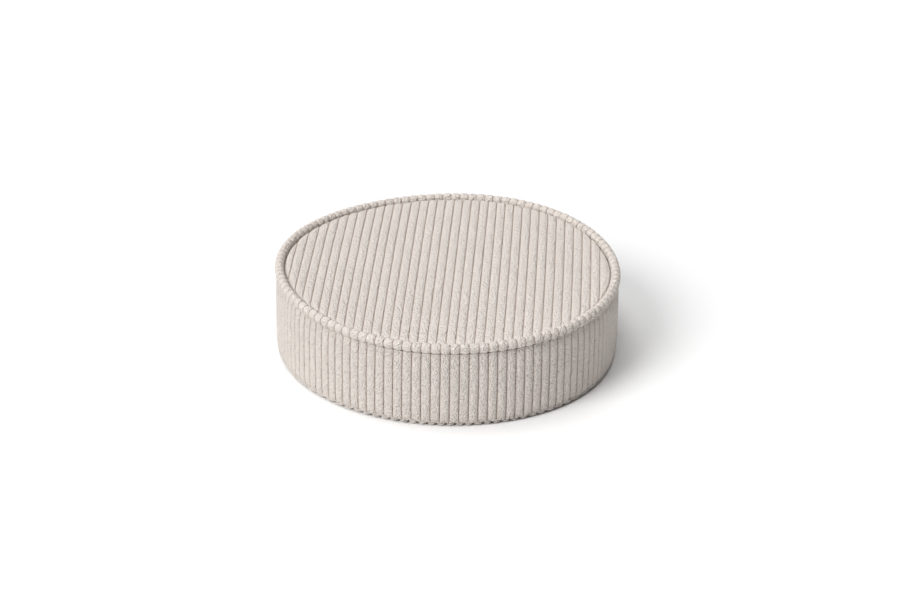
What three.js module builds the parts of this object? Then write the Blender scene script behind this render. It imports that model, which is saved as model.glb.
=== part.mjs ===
// A low round pouf in wide-wale corduroy: two discs of cloth, an upright band
// filled tight, and a fat corded welt round the top edge.
// Millimetres, +Z up. The origin is the middle of the footprint, on the surface
// that the pouf stands on, with the wales of the top running about along Y.
import * as THREE from 'three';

// Driving dimensions
const RADIUS = 200; // to the crests of the piping's bumps
const CORD_HEIGHT = 96.4; // the middle of the piping's cord, on average
const CORD_HALF_WIDTH = 5.3;
const CORD_HALF_HEIGHT = 6.0;
const BAND_RADIUS = 199.0; // to the crests of the band's wales, at half height
const BAND_WALES = 117; // round the band, and as many bumps on the piping
const BAND_PHASE = -92.4; // degrees, where one groove of the band lies
const TOP_CROWN = 2.2; // rise of the top from its edge to its middle
const TOP_ABOVE_CORD = 2.6; // the top's edge over the middle of the cord
const GAP = 0.35; // between pieces that touch

// Relief of the ribs, from groove to crest
const BAND_RELIEF = 1.7;
const PANEL_RELIEF = 1.6;
const CORD_RELIEF = 0.8;
const TOP_THICKNESS = 3.4; // cloth and pile, at a crest
const BOTTOM_THICKNESS = 3.0;

// Straight wales of the two discs: distance between grooves, where one groove
// lies in wales, how far the lines are turned from Y in degrees, how much they
// bow outwards, and the share of a rib's width where its crest begins
const TOP_WALES = { pitch: 10.34, phase: -0.388, turn: 2.77, bow: 0.008, crest: 0.5 };
const BOTTOM_WALES = { pitch: 10.3, phase: 0.233, turn: -1.96, bow: 0, crest: 0.14 };

// A hand-filled drum is never quite round or level. Each row is one wave round
// the edge: how often it repeats, and its cosine and sine parts.
const OUTLINE_WAVES = [ // shares of the radius
  { turns: 2, cosine: -0.0020, sine: -0.0005 },
  { turns: 3, cosine: -0.0052, sine: 0.0002 },
  { turns: 4, cosine: -0.0019, sine: -0.0019 },
];
const EDGE_WAVES = [ // height of the top edge
  { turns: 1, cosine: 0.1, sine: 1.0 },
  { turns: 2, cosine: 1.5, sine: 0.2 },
  { turns: 3, cosine: -0.6, sine: 0.0 },
];

// Section of the band from its lower seam to its upper one: the distance in
// from its full radius, the height, and how deep the grooves are there
const BAND_SECTION = [
  { inset: 3.4, height: 5.3, depth: 0.5 },
  { inset: 1.4, height: 8.0, depth: 1 },
  { inset: 0.3, height: 14, depth: 1 },
  { inset: 0.0, height: 50, depth: 1 },
  { inset: 0.4, height: CORD_HEIGHT - 10, depth: 1 },
  { inset: 1.0, height: CORD_HEIGHT - 5.2, depth: 0.5 },
];

// The bottom disc lies flat, and its edge turns up to the band's lower seam
const BOTTOM_EDGE = 196; // how far out it reaches
const BOTTOM_TURN = 8; // width of the edge that turns up
const BOTTOM_RISE = 1.5; // of its back, at the edge

// The top disc's ribs end where its edge rolls down to the cord
const TOP_ROLL = 3.5; // width of the rolled edge
const SEAM_STEP = 0.4; // the backs of the discs end this far inside their edges

// How the ribs are cut into facets, as shares of one rib's width
const ROUND_RIB = [0, 0.2, 0.5, 0.8];
const FLAT_RIB = [0, BOTTOM_WALES.crest, 1 - BOTTOM_WALES.crest];
const BAND_RIB = [0, 0.2, 0.8];
const CORD_RIB = [0, 0.5];
const CORD_SIDES = 8;

// Sizes that follow from these
const CORD_CENTRE = RADIUS - CORD_HALF_WIDTH;
const TOP_EDGE = CORD_CENTRE - CORD_HALF_WIDTH - GAP;

const TAU = 2 * Math.PI;
const radians = THREE.MathUtils.degToRad;
const smooth = THREE.MathUtils.smoothstep;

function waves(rows, angle) {
  return rows.reduce((sum, { turns, cosine, sine }) =>
    sum + cosine * Math.cos(turns * angle) + sine * Math.sin(turns * angle), 0);
}

const outline = (angle) => 1 + waves(OUTLINE_WAVES, angle);
const edgeLift = (angle) => waves(EDGE_WAVES, angle);

// The middle of the uneven outline, which is set on the origin
function outlineMiddle() {
  const box = new THREE.Box2();
  for (let angle = 0; angle < TAU; angle += TAU / 720) {
    const reach = RADIUS * outline(angle);
    box.expandByPoint(new THREE.Vector2(reach * Math.cos(angle), reach * Math.sin(angle)));
  }
  return box.getCenter(new THREE.Vector2());
}
const MIDDLE = outlineMiddle();

// A point from its angle, its nominal distance from the middle and its height.
// The outline's waves apply to the distance.
function place(angle, distance, height) {
  const reach = distance * outline(angle);
  return new THREE.Vector3(reach * Math.cos(angle), reach * Math.sin(angle), height);
}

// Height of a rib over its groove, from 0 to 1, at a share of its width: broad
// on top, with narrow grooves, and flat from the share where its crest begins
const ribCurve = (share) => 1 - Math.abs(2 * share - 1) ** 4;
const ribShape = (share, crest = 0.5) => Math.min(1, ribCurve(share) / ribCurve(crest));
const shareOf = (count) => count - Math.floor(count);

// A closed skin, gathered from loops that run anticlockwise seen from above
class Skin {
  constructor() {
    this.points = [];
    this.faces = [];
  }

  add(point) {
    return this.points.push(point) - 1;
  }

  loop(points) {
    return points.map((point) => this.add(point));
  }

  angles(loop) {
    const at = (i) => Math.atan2(this.points[i].y, this.points[i].x);
    const list = [at(loop[0])];
    for (const i of loop.slice(1)) {
      const before = list[list.length - 1];
      list.push(before + ((((at(i) - before) % TAU) + 3 * Math.PI) % TAU) - Math.PI);
    }
    return [...list, list[0] + TAU];
  }

  // Joins two loops of any counts by angle. The skin faces out where b lies
  // above a, and up where b lies inside a.
  bridge(a, b) {
    const angleA = this.angles(a);
    const around = this.angles(b).slice(0, -1);
    const away = around.map((angle) => Math.abs(Math.sin((angle - angleA[0]) / 2)));
    const start = away.indexOf(Math.min(...away));
    const turned = [...b.slice(start), ...b.slice(0, start)];
    const angleB = this.angles(turned);
    const shift = TAU * Math.round((angleA[0] - angleB[0]) / TAU);
    let i = 0;
    let j = 0;
    while (i < a.length || j < turned.length) {
      const nextA = angleA[i + 1] ?? Infinity;
      const nextB = (angleB[j + 1] ?? Infinity) + shift;
      const [from, to] = [a[i % a.length], turned[j % turned.length]];
      if (nextA <= nextB) {
        this.faces.push([from, a[(i + 1) % a.length], to]);
        i += 1;
      } else {
        this.faces.push([from, turned[(j + 1) % turned.length], to]);
        j += 1;
      }
    }
  }

  bridgeAll(loops) {
    loops.slice(1).forEach((loop, i) => this.bridge(loops[i], loop));
  }

  fan(loop, point, up) {
    const middle = this.add(point);
    loop.forEach((from, i) => {
      const to = loop[(i + 1) % loop.length];
      this.faces.push(up ? [from, to, middle] : [to, from, middle]);
    });
  }

  // The edge of a grid of columns and rows, anticlockwise
  static rimOf(grid) {
    const last = grid.length - 1;
    const end = grid[0].length - 1;
    return [
      ...grid.map((column) => column[0]),
      ...grid[last].slice(1, end),
      ...grid.map((column) => column[end]).reverse(),
      ...grid[0].slice(1, end).reverse(),
    ];
  }

  cover(grid, up) {
    for (let i = 0; i + 1 < grid.length; i += 1) {
      for (let j = 0; j + 1 < grid[i].length; j += 1) {
        const [a, b, c, d] = [grid[i][j], grid[i + 1][j], grid[i + 1][j + 1], grid[i][j + 1]];
        this.faces.push(...(up ? [[a, b, c], [a, c, d]] : [[a, c, b], [a, d, c]]));
      }
    }
  }

  mesh(name) {
    const geometry = new THREE.BufferGeometry();
    const shifted = this.points.flatMap(({ x, y, z }) => [x - MIDDLE.x, y - MIDDLE.y, z]);
    geometry.setAttribute('position', new THREE.Float32BufferAttribute(shifted, 3));
    geometry.setIndex(this.faces.flat());
    geometry.computeVertexNormals();
    const mesh = new THREE.Mesh(geometry, corduroy());
    mesh.name = name;
    return mesh;
  }
}

function corduroy() {
  return new THREE.MeshStandardMaterial({ color: 0xcdc5bc, roughness: 0.95, metalness: 0 });
}

// The outermost column of a disc lies this share of a wale inside its edge, and
// the edge's own points take up this share of the arc beside it
const SIDE_MARGIN = 0.4;
const SIDE_SHARE = 0.7;
const HALVINGS = 40; // in the search for the edge

// Straight wales of a disc. A place on it is a count of wales across and a
// distance along them.
class Wales {
  constructor({ pitch, phase, turn, bow, crest }) {
    Object.assign(this, { pitch, phase, bow, crest });
    this.sin = Math.sin(radians(turn));
    this.cos = Math.cos(radians(turn));
  }

  spread(along) {
    return this.pitch * (1 + this.bow * (1 - (along / RADIUS) ** 2));
  }

  point(count, along) {
    const across = count * this.spread(along);
    return new THREE.Vector2(
      across * this.cos + along * this.sin,
      along * this.cos - across * this.sin,
    );
  }

  ribAt({ x, y }) {
    const along = x * this.sin + y * this.cos;
    const count = (x * this.cos - y * this.sin) / this.spread(along);
    return ribShape(shareOf(count - this.phase), this.crest);
  }

  // Where the line with this count meets the edge of a disc, on one side
  end(count, radius, side) {
    let near = 0;
    let far = 1.1 * RADIUS;
    for (let i = 0; i < HALVINGS; i += 1) {
      const along = (near + far) / 2;
      const at = this.point(count, side * along);
      if (at.length() < radius * outline(at.angle())) near = along;
      else far = along;
    }
    return side * near;
  }

  // Columns of plan points that fill a disc: one for each listed share of each
  // wale, and the disc's own edge at the two sides
  columns(radius, shares, rows) {
    const limit = radius / this.pitch - SIDE_MARGIN;
    const counts = [];
    for (let wale = Math.floor(-limit) - 1; wale < limit + 1; wale += 1) {
      counts.push(...shares.map((share) => wale + this.phase + share));
    }
    const inside = counts.filter((count) => Math.abs(count) < limit);
    const lines = inside.map((count) => {
      const [low, high] = [this.end(count, radius, -1), this.end(count, radius, 1)];
      return rows.map((row) => this.point(count, THREE.MathUtils.lerp(low, high, row)));
    });
    const side = (line) => {
      const [from, to] = [line[0].angle(), line[rows.length - 1].angle()];
      const sweep = ((to - from + 3 * Math.PI) % TAU) - Math.PI;
      return rows.map((row) => {
        const angle = from + sweep * (0.5 + (row - 0.5) * SIDE_SHARE);
        const reach = radius * outline(angle);
        return new THREE.Vector2(reach * Math.cos(angle), reach * Math.sin(angle));
      });
    };
    return [side(lines[0]), ...lines, side(lines[lines.length - 1])];
  }
}

// A disc of cloth. face is +1 where its ribs look up and -1 where they look
// down. outer gives the height of its ribs' crests, back the loops and the
// height of its other side, and rim the rows that carry the ribs over its edge.
function disc({ wales, radius, shares, rows, relief, face, outer, back, rim }) {
  const skin = new Skin();
  const front = wales.columns(radius, shares, rows).map((column) => column.map((plan) => {
    const height = outer(plan) - face * relief * (1 - wales.ribAt(plan));
    return skin.add(new THREE.Vector3(plan.x, plan.y, height));
  }));
  skin.cover(front, face > 0);
  const edge = Skin.rimOf(front);
  const overEdge = rim.map(({ distance, height, depth }) => edge.map((i) => {
    const from = skin.points[i];
    const angle = Math.atan2(from.y, from.x);
    const groove = depth * relief * (1 - wales.ribAt(from));
    return skin.add(place(angle, distance - groove, height(angle)));
  }));
  const loops = [edge, ...overEdge, ...plainCap(skin, back.loops, back.height, face < 0)];
  skin.bridgeAll(face > 0 ? loops.reverse() : loops);
  return skin;
}

// Crown of the top, without ribs, and with the edge's waves fading inwards
function topHeight(plan) {
  const share = Math.min(plan.length() / (CORD_CENTRE - CORD_HALF_WIDTH), 1);
  const crown = TOP_CROWN * (1 - share ** 2);
  return CORD_HEIGHT + TOP_ABOVE_CORD + crown + edgeLift(plan.angle()) * share ** 3;
}

// Loops of the plain faces where the two discs lie against the filled band:
// how far out each lies, and its points
const COARSE_STEPS = BAND_WALES / 3;
const TOP_LOOPS = [
  { radius: TOP_EDGE - SEAM_STEP, steps: BAND_WALES },
  { radius: 0.75 * RADIUS, steps: COARSE_STEPS },
  { radius: 0.38 * RADIUS, steps: COARSE_STEPS },
];
const BOTTOM_LOOPS = [
  { radius: BOTTOM_EDGE - 2 * SEAM_STEP, steps: BAND_WALES },
  { radius: BOTTOM_EDGE - BOTTOM_TURN, steps: BAND_WALES },
  { radius: 0.45 * RADIUS, steps: COARSE_STEPS },
];

// The loops of a plain face from its edge inwards, with its middle closed
function plainCap(skin, loops, height, up) {
  const made = loops.map(({ radius, steps }) => skin.loop(Array.from({ length: steps }, (_, i) => {
    const point = place(radians(BAND_PHASE) + (i * TAU) / steps, radius, 0);
    return point.setZ(height(new THREE.Vector2(point.x, point.y)));
  })));
  skin.fan(made[made.length - 1], new THREE.Vector3(0, 0, height(new THREE.Vector2())), up);
  return made;
}

function topPanel() {
  const cordLevel = (lift) => (angle) => CORD_HEIGHT + edgeLift(angle) + lift;
  return disc({
    wales: new Wales(TOP_WALES),
    radius: TOP_EDGE - TOP_ROLL,
    shares: ROUND_RIB,
    rows: [0, 0.04, 0.2, 0.5, 0.8, 0.96, 1],
    relief: PANEL_RELIEF,
    face: 1,
    outer: topHeight,
    back: { loops: TOP_LOOPS, height: (plan) => topHeight(plan) - TOP_THICKNESS },
    rim: [
      { distance: TOP_EDGE - 0.9, height: cordLevel(1.7), depth: 0.8 },
      { distance: TOP_EDGE, height: cordLevel(0.2), depth: 0.3 },
    ],
  });
}

// Height of the bottom disc's back
function bottomBack(plan) {
  const reach = plan.length() / outline(plan.angle());
  return BOTTOM_THICKNESS + BOTTOM_RISE * smooth(reach, BOTTOM_EDGE - BOTTOM_TURN, BOTTOM_EDGE);
}

function bottomPanel() {
  return disc({
    wales: new Wales(BOTTOM_WALES),
    radius: BOTTOM_EDGE - BOTTOM_TURN / 2,
    shares: FLAT_RIB,
    rows: [0, 0.3, 0.7, 1],
    relief: PANEL_RELIEF,
    face: -1,
    outer: () => 0,
    back: { loops: BOTTOM_LOOPS, height: bottomBack },
    rim: [
      { distance: BOTTOM_EDGE - 1.2, height: () => 0.7, depth: 1 },
      { distance: BOTTOM_EDGE, height: () => 2.3, depth: 1 },
      { distance: BOTTOM_EDGE - 0.5, height: () => 3.9, depth: 0.6 },
    ],
  });
}

// One loop of a ribbed piece, from a rule that turns an angle and the rib's
// height there into a point
function ribbedLoop(shares, rule) {
  const points = [];
  for (let rib = 0; rib < BAND_WALES; rib += 1) {
    for (const share of shares) {
      const angle = radians(BAND_PHASE) + ((rib + share) * TAU) / BAND_WALES;
      points.push(rule(angle, ribShape(share)));
    }
  }
  return points;
}

// A point of the cord's oval section, grown by some clearance, at an angle of
// the section that starts outwards and turns upwards
function cordPoint(angle, turn, clearance) {
  return place(
    angle,
    CORD_CENTRE + (CORD_HALF_WIDTH + clearance) * Math.cos(turn),
    CORD_HEIGHT + edgeLift(angle) + (CORD_HALF_HEIGHT + clearance) * Math.sin(turn),
  );
}

function topPiping() {
  const skin = new Skin();
  const loops = Array.from({ length: CORD_SIDES }, (_, side) => {
    const turn = (side * TAU) / CORD_SIDES;
    return skin.loop(ribbedLoop(CORD_RIB, (angle, rib) =>
      cordPoint(angle, turn, -CORD_RELIEF * (1 - rib))));
  });
  skin.bridgeAll([...loops, loops[0]]);
  return skin;
}

// The band and what it holds: ribbed sides, a seat for the piping, and a top
// and a bottom that follow the backs of the two discs
function filledBand() {
  const skin = new Skin();
  const sides = BAND_SECTION.map(({ inset, height, depth }) =>
    skin.loop(ribbedLoop(BAND_RIB, (angle, rib) => place(
      angle,
      BAND_RADIUS - inset - BAND_RELIEF * depth * (1 - rib),
      height + edgeLift(angle) * (height / CORD_HEIGHT),
    ))));
  const seat = [-90, -125, -155].map((turn) => skin.loop(ribbedLoop([0], (angle) =>
    cordPoint(angle, radians(turn), GAP))));
  const underTop = (plan) => topHeight(plan) - TOP_THICKNESS - GAP;
  const overBottom = (plan) => bottomBack(plan) + GAP;
  const top = plainCap(skin, TOP_LOOPS, underTop, true);
  const bottom = plainCap(skin, BOTTOM_LOOPS, overBottom, false).reverse();
  skin.bridgeAll([...bottom, ...sides, ...seat, ...top]);
  return skin;
}

const pouf = new THREE.Group();
pouf.add(
  filledBand().mesh('side_band'),
  topPanel().mesh('top_panel'),
  topPiping().mesh('top_piping'),
  bottomPanel().mesh('bottom_panel'),
);

export default pouf;
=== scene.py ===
import math
from typing import Callable, NamedTuple

import bmesh
import bpy
import numpy as np
from bpy.props import FloatProperty, FloatVectorProperty, IntProperty, PointerProperty
from mathutils import Matrix, Vector


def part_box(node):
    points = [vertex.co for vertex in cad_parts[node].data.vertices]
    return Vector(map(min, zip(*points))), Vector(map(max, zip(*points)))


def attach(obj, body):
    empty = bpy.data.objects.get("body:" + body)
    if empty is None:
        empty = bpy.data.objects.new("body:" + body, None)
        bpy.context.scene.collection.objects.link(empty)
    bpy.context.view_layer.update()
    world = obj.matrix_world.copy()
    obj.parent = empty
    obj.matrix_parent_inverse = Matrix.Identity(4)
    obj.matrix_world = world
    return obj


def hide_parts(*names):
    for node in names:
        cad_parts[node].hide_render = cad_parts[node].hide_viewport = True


bl_info = {
    "name": "Corduroy pouf",
    "version": (1, 0, 0),
    "blender": (4, 5, 0),
    "location": "3D View > Sidebar > Pouf",
    "description": "Dresses the plain solids of a round pouf in wide-wale corduroy",
    "category": "Add Mesh",
}

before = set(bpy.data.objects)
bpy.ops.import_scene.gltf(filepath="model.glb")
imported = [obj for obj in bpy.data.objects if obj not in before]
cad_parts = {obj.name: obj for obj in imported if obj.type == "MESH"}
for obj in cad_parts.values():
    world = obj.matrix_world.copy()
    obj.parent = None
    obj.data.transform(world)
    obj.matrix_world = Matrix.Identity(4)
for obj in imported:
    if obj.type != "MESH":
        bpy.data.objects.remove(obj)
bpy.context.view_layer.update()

# Metres throughout, with the pouf standing on z = 0
MM = 0.001
TURN = 2 * math.pi
PIPING_LOW, PIPING_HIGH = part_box("top_piping")
RADIUS = (PIPING_HIGH.y - PIPING_LOW.y) / 2  # to the crests of the piping's bumps
GAP = 0.35 * MM  # between pieces that touch
SAME_POINT = 0.001 * MM  # points of a mesh closer than this are one
SEAM_STEP = 0.4 * MM  # a hidden back ends this far inside its piece's edge

# How far the hand-filled drum is from round, in shares of its radius, and how
# far its top edge is from level. A row is one wave round the edge.
OUTLINE_WAVES = (  # turns, cosine part, sine part
    (2, -0.0020, -0.0005),
    (3, -0.0052, 0.0002),
    (4, -0.0019, -0.0019),
)
EDGE_WAVES = (  # turns, cosine part, sine part
    (1, -0.3 * MM, -0.2 * MM),
    (2, 1.4 * MM, 0.7 * MM),
    (3, -0.9 * MM, -0.6 * MM),
)
OUTLINE_STEPS = 720  # in which the outline's middle is found


def measure(name, description, default):
    """A length that a user may change."""
    return FloatProperty(
        name=name, description=description, default=default, unit="LENGTH", precision=5)


class PoufSizes(bpy.types.PropertyGroup):
    """Sizes of the pouf's pieces and of its cloth."""

    cord_height: measure("Piping height", "Middle of the piping's cord", 97.2 * MM)
    cord_half_width: measure("Piping half width", "Of the cord's section", 5.7 * MM)
    cord_half_height: measure("Piping half height", "Of the cord's section", 6.0 * MM)
    cord_relief: measure("Piping relief", "Depth of the grooves on the piping", 1.6 * MM)
    band_radius: measure("Band radius", "To the crests of the band's wales", 199 * MM)
    band_relief: measure("Band relief", "Depth of the grooves on the band", 2.4 * MM)
    band_wales: IntProperty(
        name="Band wales", description="Wales round the band and bumps on the piping", default=117)
    top_rise: measure("Top rise", "The top's edge over the middle of the cord", 2.6 * MM)
    top_crown: measure("Top crown", "Rise of the top from its edge to its middle", 2.2 * MM)
    top_thickness: measure("Top thickness", "Cloth and pile at a crest", 3.4 * MM)
    bottom_edge: measure("Bottom edge", "Radius of the bottom disc", 197 * MM)
    bottom_thickness: measure("Bottom thickness", "Cloth and pile at a crest", 3.0 * MM)
    panel_relief: measure("Panel relief", "Depth of the grooves on the discs", 1.9 * MM)
    wale_width: measure("Wale width", "From groove to groove on the discs", 10.34 * MM)
    stray: measure("Stray", "How far the grooves wander sideways", 0.3 * MM)
    stray_length: measure("Stray length", "Length of one bend of a groove", 45 * MM)
    unevenness: measure("Unevenness", "How far the pile rises and falls", 0.12 * MM)
    seed: FloatProperty(name="Seed", description="Picks another piece of cloth", default=4.0)


class PoufLooks(bpy.types.PropertyGroup):
    """Colours of the cloth, and its light."""

    pile: FloatVectorProperty(
        name="Pile", description="Colour of the wales", subtype="COLOR", default=(0.82, 0.755, 0.70))
    # Colour of the grooves: partly the ground cloth's own colour, partly painted shade in the grooves
    # and on the flanks
    ground: FloatVectorProperty(
        name="Ground", description="Colour in the grooves", subtype="COLOR", default=(0.55, 0.45, 0.39))
    grain: measure("Grain", "Depth of the fine grain of the pile", 2.0 * MM)
    key_light: FloatProperty(
        name="Key light", description="Strength of the soft lamp on the left", default=2.08)
    top_light: FloatProperty(
        name="Top light", description="Strength of the soft lamp overhead", default=1.54)
    back_light: FloatProperty(
        name="Back light", description="Strength of the soft lamp behind", default=0.61)
    sky: FloatProperty(name="Sky", description="Strength of the even light", default=0.03)


class Value:
    """A socket that stands in expressions: each operator adds its Math node."""

    def __init__(self, graph, socket):
        self.graph = graph
        self.socket = socket

    def other(self, name):
        """Another output of the same node."""
        return Value(self.graph, usable(self.socket.node.outputs, name))

    def math(self, operation, *others):
        return self.graph.math(operation, self, *others)

    def parts(self):
        """The three numbers of a vector."""
        x = self.graph.node("ShaderNodeSeparateXYZ", {}, {0: self}, "X")
        return x, x.other("Y"), x.other("Z")

    def __add__(self, other):
        return self.graph.math("ADD", self, other)

    __radd__ = __add__

    def __sub__(self, other):
        return self.graph.math("SUBTRACT", self, other)

    def __rsub__(self, other):
        return self.graph.math("SUBTRACT", other, self)

    def __mul__(self, other):
        return self.graph.math("MULTIPLY", self, other)

    __rmul__ = __mul__

    def __truediv__(self, other):
        return self.graph.math("DIVIDE", self, other)

    def __rtruediv__(self, other):
        return self.graph.math("DIVIDE", other, self)

    def __pow__(self, other):
        return self.graph.math("POWER", self, other)

    def __gt__(self, other):
        return self.graph.math("GREATER_THAN", self, other)

    def __lt__(self, other):
        return self.graph.math("LESS_THAN", self, other)

    def __neg__(self):
        return 0 - self

    def __abs__(self):
        return self.graph.math("ABSOLUTE", self)


def usable(sockets, key):
    """The socket with this name, or at this place, among those that the node uses."""
    found = [s for s in sockets if s.enabled]
    return found[key] if isinstance(key, int) else next(s for s in found if s.name == key)


SOCKETS = {  # that hold each kind of value
    float: "NodeSocketFloat",
    int: "NodeSocketInt",
    Vector: "NodeSocketVector",
    bpy.types.Object: "NodeSocketObject",
    bpy.types.Material: "NodeSocketMaterial",
    bpy.types.Mesh: "NodeSocketGeometry",
}


class Graph:
    """A node tree that is written as expressions."""

    def __init__(self, tree):
        self.tree = tree

    def entry(self, name, kind=float):
        """A named input of the tree."""
        self.tree.interface.new_socket(name, in_out="INPUT", socket_type=SOCKETS[kind])
        return Value(self, self.tree.nodes.new("NodeGroupInput").outputs[name])

    def close(self, name, kind, value):
        """Makes a value the tree's one output."""
        self.tree.interface.new_socket(name, in_out="OUTPUT", socket_type=SOCKETS[kind])
        self.node("NodeGroupOutput", {}, {name: value})
        return self.tree

    def node(self, kind, settings, values, output=0):
        """Adds a node: its settings first, then the values or links of its sockets."""
        node = self.tree.nodes.new(kind)
        for name, setting in settings.items():
            setattr(node, name, setting)
        for key, value in values.items():
            socket = usable(node.inputs, key)
            if isinstance(value, Value):
                self.tree.links.new(value.socket, socket)
            else:
                socket.default_value = value
        return Value(self, usable(node.outputs, output)) if node.outputs else None

    def math(self, operation, *values):
        return self.node("ShaderNodeMath", {"operation": operation}, dict(enumerate(values)))

    def vector(self, x, y, z):
        return self.node("ShaderNodeCombineXYZ", {}, {"X": x, "Y": y, "Z": z})

    def noise(self, point, size, seed):
        """Smooth noise from about -1 to 1, whose bumps have this size."""
        settings = {"noise_dimensions": "4D"}
        values = {"Vector": point, "W": seed, "Scale": 1 / size, "Detail": 1.0}
        return self.node("ShaderNodeTexNoise", settings, values, "Fac") * 2 - 1

    def shine(self, values):
        """Makes a plain surface, with these values, the material's own."""
        surface = self.node("ShaderNodeBsdfPrincipled", {}, values)
        self.node("ShaderNodeOutputMaterial", {}, {"Surface": surface})


def emptied(owner):
    """The node tree of a new material or world, with nothing in it."""
    owner.use_nodes = True
    owner.node_tree.nodes.clear()
    return Graph(owner.node_tree)


def added(name, data):
    """A new object in the scene."""
    thing = bpy.data.objects.new(name, data)
    bpy.context.scene.collection.objects.link(thing)
    return thing


def either(operation, plain):
    """A function that works on a socket and on plain numbers."""
    return lambda x, *more: x.math(operation, *more) if isinstance(x, Value) else plain(x, *more)


sin = either("SINE", np.sin)
cos = either("COSINE", np.cos)
exp = either("EXPONENT", np.exp)
sqrt = either("SQRT", np.sqrt)
sign = either("SIGN", np.sign)
floor = either("FLOOR", np.floor)
largest = either("MAXIMUM", np.maximum)
smallest = either("MINIMUM", np.minimum)
direction = either("ARCTAN2", np.arctan2)


def kept(formula):
    """Keeps a formula as a node group, which stands wherever sockets go into it. Its
    annotations say what goes in and what comes out."""

    def group():
        name = formula.__name__
        if name not in bpy.data.node_groups:
            graph = Graph(bpy.data.node_groups.new(name, "GeometryNodeTree"))
            *kinds, (_, kind) = formula.__annotations__.items()
            graph.close("Result", kind, formula(*[graph.entry(*row) for row in kinds]))
        return bpy.data.node_groups[name]

    def used(*values):
        graphs = [value.graph for value in values if isinstance(value, Value)]
        if not graphs:
            return formula(*values)
        return graphs[0].node("GeometryNodeGroup", {"node_tree": group()}, dict(enumerate(values)))

    return used


def waves(rows, angle):
    """The sum of the rows' waves at an angle."""
    return sum(c * cos(turns * angle) + s * sin(turns * angle) for turns, c, s in rows)


@kept
def outline(angle: float) -> float:
    """How far out the drum reaches at an angle, in shares of its radius."""
    return 1 + waves(OUTLINE_WAVES, angle)


@kept
def edge_lift(angle: float) -> float:
    """How far the top edge is above its mean height at an angle."""
    return waves(EDGE_WAVES, angle)


def outline_middle():
    """The middle of the uneven outline, which stands on the origin."""
    angle = np.linspace(0, TURN, OUTLINE_STEPS + 1)
    reach = RADIUS * outline(angle)
    sides = reach * np.cos(angle), reach * np.sin(angle)
    return [float(side.min() + side.max()) / 2 for side in sides]


MIDDLE_X, MIDDLE_Y = outline_middle()


def gathered(share, ends):
    """A share from 0 to 1 whose even steps are drawn towards its two ends."""
    return share - ends / TURN * sin(TURN * share)


# Section of a wale
CREST_FLATNESS = 9.0  # power by which it falls from its crest: a higher one narrows the grooves
BEAD_FLATNESS = 4.0  # of the rounder bumps on the piping
WALL_POWER = 0.5  # a lower one makes the walls of the grooves steeper
CREST_FALL = 0.48  # share of the height that the round crest loses towards a groove
TIP_LOSS = 0.6  # how much narrower and lower a wale ends in a seam

# Unevenness of the cloth. Each layer of noise adds its own seed to the piece's.
SHORT_STRAY, SHORT_SEED = 0.3, 7.0  # the grooves' short bends, in lengths of a long one
SHORT_SHARE = 0.4  # how wide they are, in shares of a long one
TUFT_SIZE, TUFT_SEED = 5 * MM, 3.0
TUFT_SHARE = 0.5  # how high a tuft is, in shares of a dent
DENT_SIZE, DENT_SEED = 16 * MM, 5.0

# Fineness of the ribbed sheets and of their hidden sides
GROOVE_DETAIL = 0.7  # how far the columns are drawn to the grooves
END_DETAIL = 0.8  # how far the rows are drawn to the seams
ON_GROOVE = 1e-4  # a count this close to a whole one is on a groove
CAP_DISTANCES = 0.75 * RADIUS, 0.38 * RADIUS  # rings of the hidden sides
CAP_SPOKES = 48  # points of their inner ring


@kept
def placed(angle: float, distance: float, height: float, filling: bpy.types.Object) -> Vector:
    """A point from its angle, its nominal distance from the middle and its height,
    moved as the filling has pushed the cloth there."""
    graph = angle.graph
    reach = distance * outline(angle)
    point = graph.vector(reach * cos(angle) - MIDDLE_X, reach * sin(angle) - MIDDLE_Y, height)
    source = graph.node("GeometryNodeObjectInfo", {}, {"Object": filling}, "Geometry")
    settings = {"data_type": "FLOAT_VECTOR"}
    push = graph.node("GeometryNodeInputNamedAttribute", settings, {"Name": "swelling"})
    values = {"Mesh": source, "Value": push, "Sample Position": point}
    push = graph.node("GeometryNodeSampleNearestSurface", settings, values)
    return graph.node("ShaderNodeVectorMath", {"operation": "ADD"}, {0: point, 1: push})


@kept
def pile_height(count: float, loss: float, flatness: float) -> float:
    """Height of the wales' flanks, from 0 in a groove to 1. Stored without a loss, it also marks where
    the grooves' colour and painted shade lie.
    A loss makes the wales narrower and lower."""
    aside = abs(2 * (count - floor(count)) - 1)
    return largest(1 - loss - aside ** flatness, 0.0) ** WALL_POWER


@kept
def wale_height(count: float, loss: float, flatness: float) -> float:
    """Height of the rounded wales, from 0 in a groove to 1 on a crest."""
    aside = abs(2 * (count - floor(count)) - 1)
    return pile_height(count, loss, flatness) * (1 - CREST_FALL * aside * aside)


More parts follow.
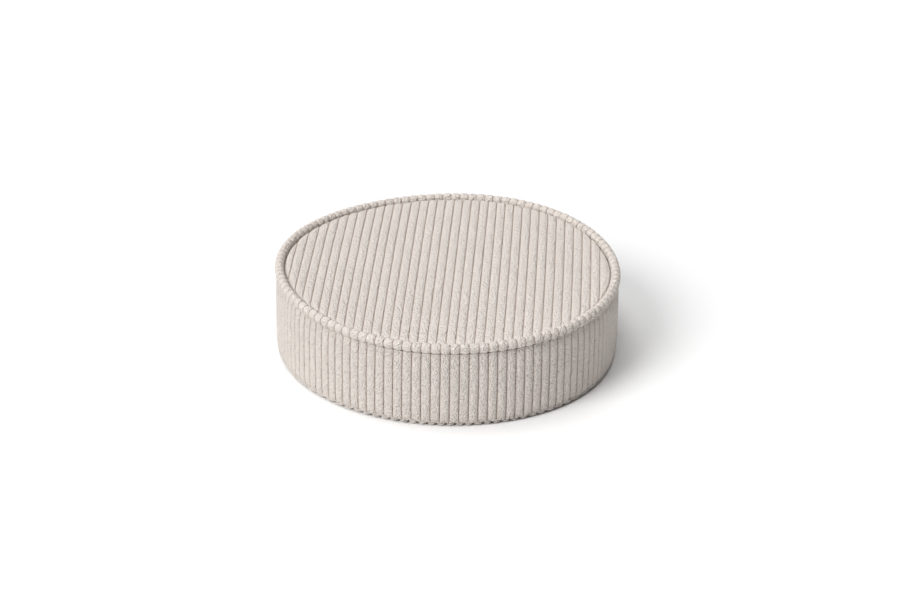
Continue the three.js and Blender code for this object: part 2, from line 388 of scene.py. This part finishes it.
class Pattern(Graph):
    """A Geometry Nodes tree that lays the wales of one piece of cloth."""

    def __init__(self, name):
        super().__init__(bpy.data.node_groups.new(name, "GeometryNodeTree"))
        self.relief = self.entry("Relief")
        self.stray = self.entry("Stray")
        self.stray_length = self.entry("Stray length")
        self.unevenness = self.entry("Unevenness")
        self.seed = self.entry("Seed")
        self.filling = self.entry("Filling", bpy.types.Object)
        self.cloth = self.entry("Cloth", bpy.types.Material)

    def position(self):
        return self.node("GeometryNodeInputPosition", {}, {})

    def attribute(self, name):
        return self.node("GeometryNodeInputNamedAttribute", {}, {"Name": name})

    def store(self, mesh, selection=True, **values):
        """Writes numbers on the points, under their names."""
        for name, value in values.items():
            sockets = {"Geometry": mesh, "Selection": selection, "Name": name, "Value": value}
            mesh = self.node("GeometryNodeStoreNamedAttribute", {"data_type": "FLOAT"}, sockets)
        return mesh

    def move(self, mesh, angle, distance, height, selection=True):
        """Puts points in their place."""
        position = placed(angle, distance, height, self.filling)
        values = {"Geometry": mesh, "Position": position, "Selection": selection}
        return self.node("GeometryNodeSetPosition", {}, values)

    def grid(self, columns, rows):
        """A flat sheet, with each point's share of the way across it and along it."""
        values = {"Size X": 1.0, "Size Y": 1.0, "Vertices X": columns + 1, "Vertices Y": rows + 1}
        mesh = self.node("GeometryNodeMeshGrid", {}, values, "Mesh")
        x, y, _ = self.position().parts()
        return mesh, x + 0.5, y + 0.5

    def wale_at(self, count):
        """Where a point lies, counted in wales, with most columns beside the grooves."""
        whole = floor(count + ON_GROOVE)
        return whole + gathered(count - whole, GROOVE_DETAIL)

    def wander(self, point):
        """How far the lines of the cloth stray sideways."""
        long = self.noise(point, self.stray_length, self.seed)
        short = self.noise(point, SHORT_STRAY * self.stray_length, self.seed + SHORT_SEED)
        return self.stray * (long + SHORT_SHARE * short)

    def lumps(self, point):
        """How far the pile rises and falls."""
        tufts = self.noise(point, TUFT_SIZE, self.seed + TUFT_SEED)
        dents = self.noise(point, DENT_SIZE, self.seed + DENT_SEED)
        return self.unevenness * (TUFT_SHARE * tufts + dents)

    def merged(self, mesh):
        """Joins the points that are in one place."""
        values = {"Geometry": mesh, "Distance": SAME_POINT}
        return self.node("GeometryNodeMergeByDistance", {}, values)

    def open_edge(self):
        """The edges that have one face, not two."""
        return self.node("GeometryNodeInputMeshEdgeNeighbors", {}, {}) < 1.5

    def ring(self, mesh, edge, at):
        """Carries an open edge on by one ring of faces. Its new place is worked out
        from the angle and the ridge height of each point."""
        values = {"Mesh": mesh, "Selection": edge, "Offset Scale": 0.0}
        mesh = self.node("GeometryNodeExtrudeMesh", {"mode": "EDGES"}, values, "Mesh")
        edge = mesh.other("Top")
        x, y, _ = self.position().parts()
        angle = direction(y + MIDDLE_Y, x + MIDDLE_X)
        return self.move(mesh, *at(angle, self.attribute("ridge")), selection=edge), edge

    def cap(self, mesh, edge, start, level):
        """Closes a hidden side with a skin of this level, from a starting distance in
        to the middle, where its points are few."""
        outer, inner = CAP_DISTANCES

        def at_distance(distance):
            return lambda angle, _: (angle, distance, level(angle, distance))

        def on_spoke(angle, ridge):
            angle = floor(angle * CAP_SPOKES / TURN + 0.5) * (TURN / CAP_SPOKES)
            return at_distance(inner)(angle, ridge)

        mesh, edge = self.ring(mesh, edge, at_distance(start))
        mesh, edge = self.ring(mesh, edge, at_distance(outer))
        mesh, edge = self.ring(mesh, edge, on_spoke)
        mesh = self.merged(mesh)
        mesh, _ = self.ring(mesh, edge, at_distance(0.0))
        return mesh

    def finish(self, mesh):
        """Closes the skin, realizes it and gives it its cloth."""
        mesh = self.merged(mesh)
        mesh = self.node("GeometryNodeSetShadeSmooth", {}, {"Geometry": mesh})
        mesh = self.node("GeometryNodeRealizeInstances", {}, {"Geometry": mesh})
        values = {"Geometry": mesh, "Material": self.cloth}
        mesh = self.node("GeometryNodeSetMaterial", {}, values)
        return self.close("Mesh", bpy.types.Mesh, mesh)


# Ribbed band and piping
BAND_START = math.radians(-92.1)  # where one groove lies
BAND_SAMPLES = 10  # columns to a wale
BAND_ROWS = 60
BAND_FOOT = 6.0 * MM  # height of the lower seam
BAND_HEAD = 6.0 * MM  # the upper seam, below the middle of the cord
FOOT_DRAW = (1.3 * MM, 3.0 * MM)  # how far in the lower seam draws the cloth, and how far up
HEAD_DRAW = (2.4 * MM, 9.0 * MM)  # the same of the upper seam, downwards
TIP_DRAW = (1.0, 2.0 * MM)  # how much of a wale's end a seam takes, and over what length
TIP_FILL = 0.6  # how much shallower the grooves end in a seam
LIP = 1.0 * MM  # how far the band's hem stands out over the edge of the bottom disc
LIP_THICKNESS = 0.8 * MM
CORD_SAMPLES = 10  # columns to a bump
CORD_ROWS = 28  # round the cord's section
SEAT_TURNS = (-90, -125, -155)  # degrees round the cord's section, where the band holds it

# Hidden side of the bottom disc, whose edge turns up
BOTTOM_TURN = 8 * MM  # width of the edge that turns up
BOTTOM_RISE = 1.5 * MM  # of its back, at the edge


def drawn_in(away, draw):
    """How much a seam draws the cloth at a distance from it. The draw says how much
    that is in the seam itself, and how far it reaches."""
    depth, reach = draw
    return depth * exp(-away / reach)


def top_level(pouf, angle, distance):
    """Height of the top's crests, without the crown."""
    share = smallest(distance / (RADIUS - 2 * pouf.cord_half_width), 1.0)
    return pouf.cord_height + pouf.top_rise + edge_lift(angle) * share ** 3


def top_edge(pouf):
    """Radius of the top disc, inside the piping."""
    return RADIUS - 2 * pouf.cord_half_width - GAP


def bottom_back(pouf, distance):
    """Height of the bottom disc's hidden side."""
    turned_up = 1 - (pouf.bottom_edge - distance) / BOTTOM_TURN
    return pouf.bottom_thickness + BOTTOM_RISE * largest(turned_up, 0.0)


def seat(pouf, turn):
    """Part of the band's seat for the cord."""
    turn = math.radians(turn)

    def at(angle, _):
        out = (pouf.cord_half_width + GAP) * math.cos(turn)
        up = (pouf.cord_half_height + GAP) * math.sin(turn)
        distance = RADIUS - pouf.cord_half_width + out
        return angle, distance, pouf.cord_height + edge_lift(angle) + up

    return at


def band_pattern(pouf):
    """The ribbed side of the filled band, with the hidden sides under its neighbours."""
    tree = Pattern("Filled band")
    radius = tree.entry("Radius")
    wales = tree.entry("Wales", int)
    foot = tree.entry("Foot")
    head = tree.entry("Head")
    mesh, across, up = tree.grid(wales * BAND_SAMPLES, BAND_ROWS)
    count = tree.wale_at(across * wales)
    angle = BAND_START + count / wales * TURN
    level = foot + (head - foot) * gathered(up, END_DETAIL)
    plain = tree.vector(radius * cos(angle), radius * sin(angle), level)

    def from_seams(foot_draw, head_draw):
        return drawn_in(level - foot, foot_draw) + drawn_in(head - level, head_draw)

    tip = from_seams(TIP_DRAW, TIP_DRAW)
    ridge = wale_height(count, TIP_LOSS * tip, CREST_FLATNESS)
    groove = tree.relief * (1 - ridge) * (1 - TIP_FILL * tip)
    inset = from_seams(FOOT_DRAW, HEAD_DRAW)
    distance = radius - inset - groove + ridge * tree.lumps(plain)
    height = level + edge_lift(angle) * (level / pouf.cord_height)
    mesh = tree.store(mesh, pile=pile_height(count, 0.0, CREST_FLATNESS), wale=count, run=level)
    mesh = tree.move(mesh, angle + tree.wander(plain) / radius, distance, height)
    mesh = tree.merged(mesh)
    _, _, z = tree.position().parts()
    low = tree.open_edge() * (z < pouf.cord_height / 2)

    def over_bottom(_, distance):
        return bottom_back(pouf, distance) + GAP

    lip = pouf.bottom_edge + LIP
    lip_foot = over_bottom(None, lip)
    for height in (lip_foot + LIP_THICKNESS, lip_foot):
        mesh, low = tree.ring(mesh, low, lambda angle, _: (angle, lip, height))
        mesh = tree.store(mesh, low, pile=1.0)
    mesh = tree.cap(mesh, low, pouf.bottom_edge - 3 * SEAM_STEP, over_bottom)
    _, _, z = tree.position().parts()
    high = tree.open_edge() * (z > pouf.cord_height / 2)
    for turn in SEAT_TURNS:
        mesh, high = tree.ring(mesh, high, seat(pouf, turn))

    def under_top(angle, distance):
        return top_level(pouf, angle, distance) - pouf.top_thickness - GAP

    return tree.finish(tree.cap(mesh, high, top_edge(pouf) - SEAM_STEP, under_top))


def piping_pattern(pouf):
    """The corded welt, whose bumps line up with the wales of the band."""
    tree = Pattern("Corded welt")
    wales = tree.entry("Wales", int)
    half_width = tree.entry("Half width")
    half_height = tree.entry("Half height")
    mesh, across, around = tree.grid(wales * CORD_SAMPLES, CORD_ROWS)
    count = tree.wale_at(across * wales)
    angle = BAND_START + count / wales * TURN
    turn = around * TURN
    ridge = wale_height(count, 0.0, BEAD_FLATNESS)
    centre = RADIUS - half_width
    plain = tree.vector(RADIUS * cos(angle), RADIUS * sin(angle), pouf.cord_height)
    bump = tree.vector(centre * cos(angle), centre * sin(angle), half_height * sin(turn))
    rise = ridge * tree.lumps(bump) - tree.relief * (1 - ridge)
    distance = centre + (half_width + rise) * cos(turn)
    height = pouf.cord_height + edge_lift(angle) + (half_height + rise) * sin(turn)
    pile = pile_height(count, 0.0, CREST_FLATNESS)
    mesh = tree.store(mesh, pile=pile, wale=count, run=turn * half_height)
    mesh = tree.move(mesh, angle + tree.wander(plain) / RADIUS, distance, height)
    return tree.finish(mesh)


# Flat discs
DISC_SAMPLES = 12  # columns to a wale
SIDE_MARGIN = 0.002  # the outermost column stops this share short of the edge
SIDE_CUT = 0.3  # and is this much shorter than the edge beside it
SEARCH_STEPS = 3  # in which a wale's end is found on the uneven outline
ROLL_STEPS = (15, 32, 50, 70, 90)  # degrees, where the rings of the rolled edge lie
TOP_ROLL = (3.5 * MM, 3.0 * MM)  # width and height of the rolled edge
BOTTOM_ROLL = (6.5 * MM, 2.3 * MM)
TOP_NOTCH = 0.6  # depth of the grooves at the edge, in shares of their own
BOTTOM_NOTCH = 2.6
LEAST_ALONG = 0.35  # sine of the flattest angle at which grooves still run straight over it
BACK_STEP = 3 * MM  # the hidden side's first even ring lies this far inside the rolled edge


class Disc(NamedTuple):
    """How one disc of cloth lies."""

    face: int  # 1 where the wales look up, -1 where they look down
    wales: int  # to cover its width, an even number
    rows: int
    edge: float  # radius where the rolled edge begins
    roll_width: float
    roll_height: float
    notch: float  # how deep the grooves cut into the edge, in shares of their depth
    tip_loss: float  # how much narrower and lower the wales end where it begins
    start: float  # where the first groove lies, in wales
    turn: float  # of the wales, from Y
    bow: float  # how much wider the wales are in the middle
    back_edge: float  # radius of the hidden side
    back: Callable  # its height, from an angle and a distance


def disc_pattern(name, disc, level):
    """A disc of straight wales that run out to its round, rolled edge."""
    tree = Pattern(name)
    width = tree.entry("Wale width")
    mesh, across, along = tree.grid(disc.wales * DISC_SAMPLES, disc.rows)

    def spread(run):
        return width * (1 + disc.bow * (1 - (run / RADIUS) ** 2))

    def turned(aside, run):
        x = aside * math.cos(disc.turn) + run * math.sin(disc.turn)
        y = run * math.cos(disc.turn) - aside * math.sin(disc.turn)
        return x, y

    count = tree.wale_at(across * disc.wales) - disc.wales / 2 + disc.start
    right = disc.edge * (1 - SIDE_MARGIN) * float(outline(-disc.turn)) / spread(0)
    left = disc.edge * (1 - SIDE_MARGIN) * float(outline(math.pi - disc.turn)) / spread(0)
    beyond = largest(count > right, -count > left)
    count = smallest(largest(count, -left), right)
    side = sign(along - 0.5)
    end = sqrt(largest(disc.edge ** 2 - (count * width) ** 2, 0.0))
    for _ in range(SEARCH_STEPS):
        aside = count * spread(end)
        x, y = turned(aside, side * end)
        reach = disc.edge * outline(direction(y, x))
        end = sqrt(largest(reach * reach - aside * aside, 0.0))
    share = abs(2 * gathered(along, END_DETAIL) - 1) * (1 - SIDE_CUT * beyond)
    run = side * share * end
    aside = count * spread(run)
    x, y = turned(aside, run)
    reach = disc.edge * outline(direction(y, x))
    arc = sign(count) * sqrt(largest(reach * reach - run * run, 0.0))
    aside = aside + beyond * (arc - aside)
    x, y = turned(aside, run)
    from_edge = disc.edge - sqrt(x * x + y * y) / outline(direction(y, x))
    loss = disc.tip_loss * drawn_in(largest(from_edge, 0.0), TIP_DRAW)
    count = aside / spread(run) - disc.start
    ridge = wale_height(count, loss, CREST_FLATNESS)
    pile = pile_height(count, 0.0, CREST_FLATNESS)
    plain = tree.vector(x, y, 0.0)
    x, y = turned(aside + tree.wander(plain), run)
    angle = direction(y, x)
    distance = smallest(sqrt(x * x + y * y) / outline(angle), disc.edge)
    height = level(angle, distance)
    height = height + disc.face * (ridge * tree.lumps(plain) - tree.relief * (1 - ridge))
    mesh = tree.store(mesh, ridge=ridge, pile=pile, wale=count, run=run)
    mesh = tree.move(mesh, angle, distance, height)
    if disc.face < 0:
        mesh = tree.node("GeometryNodeFlipFaces", {}, {"Mesh": mesh})
    mesh = tree.merged(mesh)
    edge = tree.open_edge()
    turns = [math.radians(step) for step in (0, *ROLL_STEPS)]
    for last, turn in zip(turns, turns[1:]):
        mesh, edge = tree.ring(mesh, edge, rolled_edge(tree, disc, level, last, turn))

    def notched_back(angle, ridge):
        distance = disc.back_edge - disc.notch * tree.relief * (1 - ridge)
        return angle, distance, disc.back(angle, distance)

    mesh, edge = tree.ring(mesh, edge, notched_back)
    return tree.finish(tree.cap(mesh, edge, disc.edge - BACK_STEP, disc.back))


def rolled_edge(tree, disc, level, last, turn):
    """One ring of a disc's rolled edge, over which the grooves run straight on."""
    outward = disc.roll_width * (math.sin(turn) - math.sin(last))

    def at(angle, ridge):
        groove = tree.relief * (1 - ridge)
        distance = disc.edge + (disc.roll_width - disc.notch * groove) * math.sin(turn)
        drop = disc.roll_height * (1 - math.cos(turn)) + groove * math.cos(turn)
        along = sin(angle + disc.turn)
        slant = cos(angle + disc.turn) * along / largest(abs(along), LEAST_ALONG) ** 2
        angle = angle + outward / disc.edge * slant
        return angle, distance, level(angle, disc.edge) - disc.face * drop

    return at


def woven(name, tree, sizes):
    """The piece that a pattern makes, as a plain mesh."""
    piece = added(name, bpy.data.meshes.new(name))
    modifier = piece.modifiers.new("Wales", "NODES")
    modifier.node_group = tree
    for item in tree.interface.items_tree:
        if item.in_out == "INPUT":
            modifier[item.identifier] = sizes[item.name]
    settled(piece)
    return piece


def settled(piece):
    """Turns a piece and its modifiers into a plain mesh."""
    view = bpy.context.evaluated_depsgraph_get()
    mesh = bpy.data.meshes.new_from_object(
        piece.evaluated_get(view), preserve_all_data_layers=True, depsgraph=view)
    piece.modifiers.clear()
    piece.data = mesh


def cloth_sizes(pouf, relief, own):
    """The inputs that every pattern has, and the piece's own."""
    return {
        "Relief": relief,
        "Stray": pouf.stray,
        "Stray length": pouf.stray_length,
        "Unevenness": pouf.unevenness,
        "Seed": pouf.seed,
        "Filling": bpy.data.objects["filling"],
        "Cloth": corduroy(),
        **own,
    }


def stands_for(piece, node):
    """Puts a piece of cloth in its solid's place."""
    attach(piece, "root")
    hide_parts(node)


# Pile of the cloth: the size of each layer of its colour, and how much it counts
GRAIN_SIZE, GRAIN_SHARE = 1.8 * MM, 0.5
MOTTLE_SIZE, MOTTLE_SHARE = 5 * MM, 0.15
PATCH_SIZE, PATCH_SHARE = 60 * MM, 0.1
STREAK_LENGTH, STREAK_SHARE = 14 * MM, 0.1
STREAKS = 9  # side by side on one wale
MOTTLE_DEPTH = 0.3  # in shares of the grain's
PILE_TONES = (0.87, 1.13)  # its darkest and palest, in shares of its colour
# The grooves' colour is partly the ground cloth's own colour and partly painted shade. It covers the
# flanks below this height of the pile and is deepest in the grooves.
GROUND_AND_SHADE_START = 0.95  # height of the pile below which the grooves' colour begins
GROUND_AND_SHADE_DEPTH = 0.4  # and how far below that it covers all


def corduroy():
    """The cloth: a short dense pile, pale on the wales and darker in the grooves, where the ground
    cloth shows and painted shade deepens it.
    """
    if "wide corduroy" in bpy.data.materials:
        return bpy.data.materials["wide corduroy"]
    looks = bpy.context.scene.pouf_looks
    material = bpy.data.materials.new("wide corduroy")
    graph = emptied(material)
    point = graph.node("ShaderNodeTexCoord", {}, {}, "Object")

    def painted(name):
        return graph.node("ShaderNodeAttribute", {"attribute_name": name}, {}, "Fac")

    def mixed(factor, a, b):
        values = {"Factor": factor, "A": a, "B": b}
        return graph.node("ShaderNodeMix", {"data_type": "RGBA"}, values, "Result")

    height, wale, run = painted("pile"), painted("wale"), painted("run")
    grain = graph.noise(point, GRAIN_SIZE, 1.0)
    mottle = graph.noise(point, MOTTLE_SIZE, 2.0)
    patches = graph.noise(point, PATCH_SIZE, 3.0)
    streaks = graph.noise(graph.vector(wale * STREAKS, run / STREAK_LENGTH, 0.0), 1.0, 4.0)
    pale = 0.5 + GRAIN_SHARE * grain + MOTTLE_SHARE * mottle
    pale = pale + PATCH_SHARE * patches + STREAK_SHARE * streaks
    dark_pile, pale_pile = [(*[c * tone for c in looks.pile], 1) for tone in PILE_TONES]
    # Painted shade: the grooves' colour, darker than the ground cloth alone, is mixed over the flanks
    # and groove floors
    ground_and_shade = smallest(largest((GROUND_AND_SHADE_START - height) / GROUND_AND_SHADE_DEPTH, 0.0), 1.0)
    colour = mixed(ground_and_shade, mixed(pale, dark_pile, pale_pile), (*looks.ground, 1))
    values = {"Distance": looks.grain, "Height": grain + MOTTLE_DEPTH * mottle}
    normal = graph.node("ShaderNodeBump", {}, values)
    graph.shine({
        "Base Color": colour,
        "Roughness": 0.95,
        "Specular IOR Level": 0.15,
        "Normal": normal,
    })
    return material


# Filling
DRUM_SIDES = 120
DRUM_BEVEL = 5 * MM
BEVEL_STEPS = 2
VOXEL = 6 * MM  # size of the drum's cells
HELD = 8 * MM  # how far the upper seam's hold reaches, and the floor's hold upwards
PRESSURE = 4.0
FRAMES = 20
MOST_MOVED = 12 * MM  # where the pressure moves a point further, it stops here
SWELLING_STEP = 0.01 * MM  # to which the swelling is rounded


def points_of(mesh):
    """The places of a mesh's points, one to a row."""
    places = np.empty(3 * len(mesh.vertices))
    mesh.vertices.foreach_get("co", places)
    return places.reshape(-1, 3)


def plain_drum(radius, low, high):
    """A plain drum of even small cells."""
    mesh = bpy.data.meshes.new("filling")
    shape = bmesh.new()
    bmesh.ops.create_cone(
        shape, cap_ends=True, segments=DRUM_SIDES, radius1=radius, radius2=radius, depth=high - low)
    bmesh.ops.translate(shape, verts=shape.verts, vec=(-MIDDLE_X, -MIDDLE_Y, (high + low) / 2))
    rims = [e for e in shape.edges if abs(e.verts[0].co.z - e.verts[1].co.z) < SAME_POINT]
    bmesh.ops.bevel(shape, geom=rims, offset=DRUM_BEVEL, segments=BEVEL_STEPS, affect="EDGES")
    shape.to_mesh(mesh)
    shape.free()
    drum = added("filling", mesh)
    cells = drum.modifiers.new("Cells", "REMESH")
    cells.mode = "VOXEL"
    cells.voxel_size = VOXEL
    settled(drum)
    return drum


def blown_up(drum, held):
    """Where the points of the drum go when it is filled tight."""
    seams = drum.vertex_groups.new(name="seams")
    seams.add([int(i) for i in np.nonzero(held)[0]], 1.0, "REPLACE")
    cloth = drum.modifiers.new("Cloth", "CLOTH")
    cloth.settings.use_pressure = True
    cloth.settings.uniform_pressure_force = PRESSURE
    cloth.settings.vertex_group_mass = "seams"
    cloth.settings.effector_weights.gravity = 0
    cloth.point_cache.frame_end = FRAMES
    for number in range(1, FRAMES + 1):
        bpy.context.scene.frame_set(number)
    view = bpy.context.evaluated_depsgraph_get()
    filled = bpy.data.meshes.new_from_object(drum.evaluated_get(view))
    drum.modifiers.clear()
    bpy.context.scene.frame_set(1)
    return points_of(filled)


class POUF_OT_filling(bpy.types.Operator):
    """Fills a plain drum of cloth tight between its seams, for the wales to lie on"""

    bl_idname = "pouf.filling"
    bl_label = "Filling"

    def execute(self, context):
        pouf = context.scene.pouf
        low = pouf.bottom_thickness
        high = pouf.cord_height + pouf.top_rise - pouf.top_thickness
        radius = pouf.band_radius - pouf.band_relief
        drum = plain_drum(radius, low, high)
        rest = points_of(drum.data)
        out = np.hypot(rest[:, 0], rest[:, 1])
        swelling = np.zeros_like(rest)
        top_seam = (rest[:, 2] > high - HELD) & (out > radius - HELD)
        bottom = rest[:, 2] < low + HELD
        swelling = blown_up(drum, top_seam | bottom) - rest
        length = np.linalg.norm(swelling, axis=1, keepdims=True)
        swelling *= np.minimum(1, MOST_MOVED / np.maximum(length, SAME_POINT))
        swelling *= pouf.top_crown / swelling[:, 2].max()
        swelling = np.round(swelling / SWELLING_STEP) * SWELLING_STEP
        stored = drum.data.attributes.new("swelling", "FLOAT_VECTOR", "POINT")
        stored.data.foreach_set("vector", swelling.ravel())
        drum.hide_render = True
        return {"FINISHED"}


class POUF_OT_band(bpy.types.Operator):
    """Makes the filled band with its upright wales"""

    bl_idname = "pouf.band"
    bl_label = "Filled band"

    def execute(self, context):
        pouf = context.scene.pouf
        sizes = cloth_sizes(pouf, pouf.band_relief, {
            "Radius": pouf.band_radius,
            "Wales": pouf.band_wales,
            "Foot": BAND_FOOT,
            "Head": pouf.cord_height - BAND_HEAD,
        })
        band = woven("filled_band", band_pattern(pouf), sizes)
        stands_for(band, "side_band")
        return {"FINISHED"}


class POUF_OT_piping(bpy.types.Operator):
    """Makes the corded welt round the top edge"""

    bl_idname = "pouf.piping"
    bl_label = "Corded welt"

    def execute(self, context):
        pouf = context.scene.pouf
        sizes = cloth_sizes(pouf, pouf.cord_relief, {
            "Wales": pouf.band_wales,
            "Half width": pouf.cord_half_width,
            "Half height": pouf.cord_half_height,
        })
        welt = woven("corded_welt", piping_pattern(pouf), sizes)
        stands_for(welt, "top_piping")
        return {"FINISHED"}


class POUF_OT_discs(bpy.types.Operator):
    """Makes the two discs of cloth, on top and underneath"""

    bl_idname = "pouf.discs"
    bl_label = "Top and bottom"

    def execute(self, context):
        pouf = context.scene.pouf
        sizes = cloth_sizes(pouf, pouf.panel_relief, {"Wale width": pouf.wale_width})
        self.top(pouf, sizes)
        self.bottom(pouf, {**sizes, "Unevenness": 0.0})
        return {"FINISHED"}

    def top(self, pouf, sizes):
        def level(angle, distance):
            return top_level(pouf, angle, distance)

        edge = top_edge(pouf)
        roll_width, roll_height = TOP_ROLL
        disc = Disc(
            face=1, wales=38, rows=100,
            edge=edge - roll_width, roll_width=roll_width, roll_height=roll_height,
            notch=TOP_NOTCH, tip_loss=TIP_LOSS,
            start=-0.27, turn=math.radians(2.77), bow=0.008,
            back_edge=edge - SEAM_STEP,
            back=lambda angle, distance: level(angle, distance) - pouf.top_thickness)
        piece = woven("top_cloth", disc_pattern("Top", disc, level), sizes)
        stands_for(piece, "top_panel")

    def bottom(self, pouf, sizes):
        edge = pouf.bottom_edge
        roll_width, roll_height = BOTTOM_ROLL
        disc = Disc(
            face=-1, wales=40, rows=60,
            edge=edge - roll_width, roll_width=roll_width, roll_height=roll_height,
            notch=BOTTOM_NOTCH, tip_loss=0.0,
            start=0.3, turn=math.radians(-1.96), bow=0.0,
            back_edge=edge - 2 * SEAM_STEP,
            back=lambda _, distance: bottom_back(pouf, distance))
        piece = woven("bottom_cloth", disc_pattern("Bottom", disc, lambda *_: 0.0), sizes)
        stands_for(piece, "bottom_panel")


# Camera of the photo: how far it is from the aim, how high it looks from, how
# far it is tilted, and the aim itself
CAMERA_DISTANCE = 3.047
CAMERA_ELEVATION = math.radians(27.1)
CAMERA_ROLL = math.radians(0.888)
CAMERA_AIM = Vector((3.3 * MM, 0, 56.0 * MM))
CAMERA_LENS, CAMERA_SENSOR = 105.0, 36.0  # in millimetres


def add_camera(scene):
    """Looks at the pouf from the photo's place."""
    look = Vector((0, math.cos(CAMERA_ELEVATION), -math.sin(CAMERA_ELEVATION)))
    level = Vector((1, 0, 0))
    upright = level.cross(look)
    right = level * math.cos(CAMERA_ROLL) + upright * math.sin(CAMERA_ROLL)
    up = upright * math.cos(CAMERA_ROLL) - level * math.sin(CAMERA_ROLL)
    data = bpy.data.cameras.new("camera")
    data.lens = CAMERA_LENS
    data.sensor_width = CAMERA_SENSOR
    camera = added("camera", data)
    camera.matrix_world = Matrix((right, up, -look)).transposed().to_4x4()
    camera.location = CAMERA_AIM - look * CAMERA_DISTANCE
    scene.camera = camera


# Large far lamps: where each one hangs, and how wide it looks from the pouf
KEY_LAMP = Vector((-0.58, -0.50, 0.63)), math.radians(30)
TOP_LAMP = Vector((0.0, 0.0, 1.0)), math.radians(50)
BACK_LAMP = Vector((-0.40, 0.20, 0.90)), math.radians(40)


def add_lamp(name, lamp, power):
    """Hangs one soft lamp."""
    place, width = lamp
    data = bpy.data.lights.new(name, "SUN")
    data.energy = power
    data.angle = width
    added(name, data).rotation_euler = place.to_track_quat("Z", "Y").to_euler()


def add_sky(scene, strength):
    """An even white light, which the camera sees as a white wall."""
    world = bpy.data.worlds.new("studio")
    graph = emptied(world)
    seen = graph.node("ShaderNodeLightPath", {}, {}, "Is Camera Ray")
    light = strength + seen * (1 - strength)
    sky = graph.node("ShaderNodeBackground", {}, {"Strength": light, "Color": (1, 1, 1, 1)})
    graph.node("ShaderNodeOutputWorld", {}, {"Surface": sky})
    scene.world = world


FLOOR_HALF = 6.0  # metres from the middle of the floor to its sides
FLOOR_DROP = 0.05 * MM  # between the pouf and the floor
FLOOR_WHITE = (0.93, 0.93, 0.93, 1)


def add_floor():
    """A large matt white floor."""
    corners = [
        (x * FLOOR_HALF, y * FLOOR_HALF, -FLOOR_DROP)
        for x, y in ((-1, -1), (1, -1), (1, 1), (-1, 1))]
    mesh = bpy.data.meshes.new("floor")
    mesh.from_pydata(corners, [], [(0, 1, 2, 3)])
    material = bpy.data.materials.new("floor")
    graph = emptied(material)
    graph.shine({"Base Color": FLOOR_WHITE, "Roughness": 1.0, "Specular IOR Level": 0.0})
    mesh.materials.append(material)
    ground = added("floor", mesh)


class POUF_OT_stage(bpy.types.Operator):
    """Sets the white floor, the soft light and the camera"""

    bl_idname = "pouf.stage"
    bl_label = "Stage"

    def execute(self, context):
        scene = context.scene
        looks = scene.pouf_looks
        add_floor()
        add_lamp("key", KEY_LAMP, looks.key_light)
        add_lamp("overhead", TOP_LAMP, looks.top_light)
        add_lamp("back", BACK_LAMP, looks.back_light)
        add_sky(scene, looks.sky)
        add_camera(scene)
        scene.view_settings.view_transform = "Standard"
        return {"FINISHED"}


class POUF_PT_panel(bpy.types.Panel):
    """Sizes, looks and steps of the pouf"""

    bl_label = "Pouf"
    bl_space_type = "VIEW_3D"
    bl_region_type = "UI"
    bl_category = "Pouf"

    def draw(self, context):
        for operator in OPERATORS:
            self.layout.operator(operator.bl_idname)
        for group in (context.scene.pouf, context.scene.pouf_looks):
            for name in type(group).__annotations__:
                self.layout.prop(group, name)


OPERATORS = (POUF_OT_filling, POUF_OT_band, POUF_OT_piping, POUF_OT_discs, POUF_OT_stage)
CLASSES = (PoufSizes, PoufLooks, *OPERATORS, POUF_PT_panel)


def register():
    for kind in CLASSES:
        bpy.utils.register_class(kind)
    bpy.types.Scene.pouf = PointerProperty(type=PoufSizes)
    bpy.types.Scene.pouf_looks = PointerProperty(type=PoufLooks)


def unregister():
    del bpy.types.Scene.pouf_looks
    del bpy.types.Scene.pouf
    for kind in reversed(CLASSES):
        bpy.utils.unregister_class(kind)


def main():
    register()
    bpy.ops.pouf.filling()
    bpy.ops.pouf.band()
    bpy.ops.pouf.piping()
    bpy.ops.pouf.discs()
    bpy.ops.pouf.stage()
    bpy.data.objects.remove(bpy.data.objects["filling"])


if __name__ == "__main__":
    main()
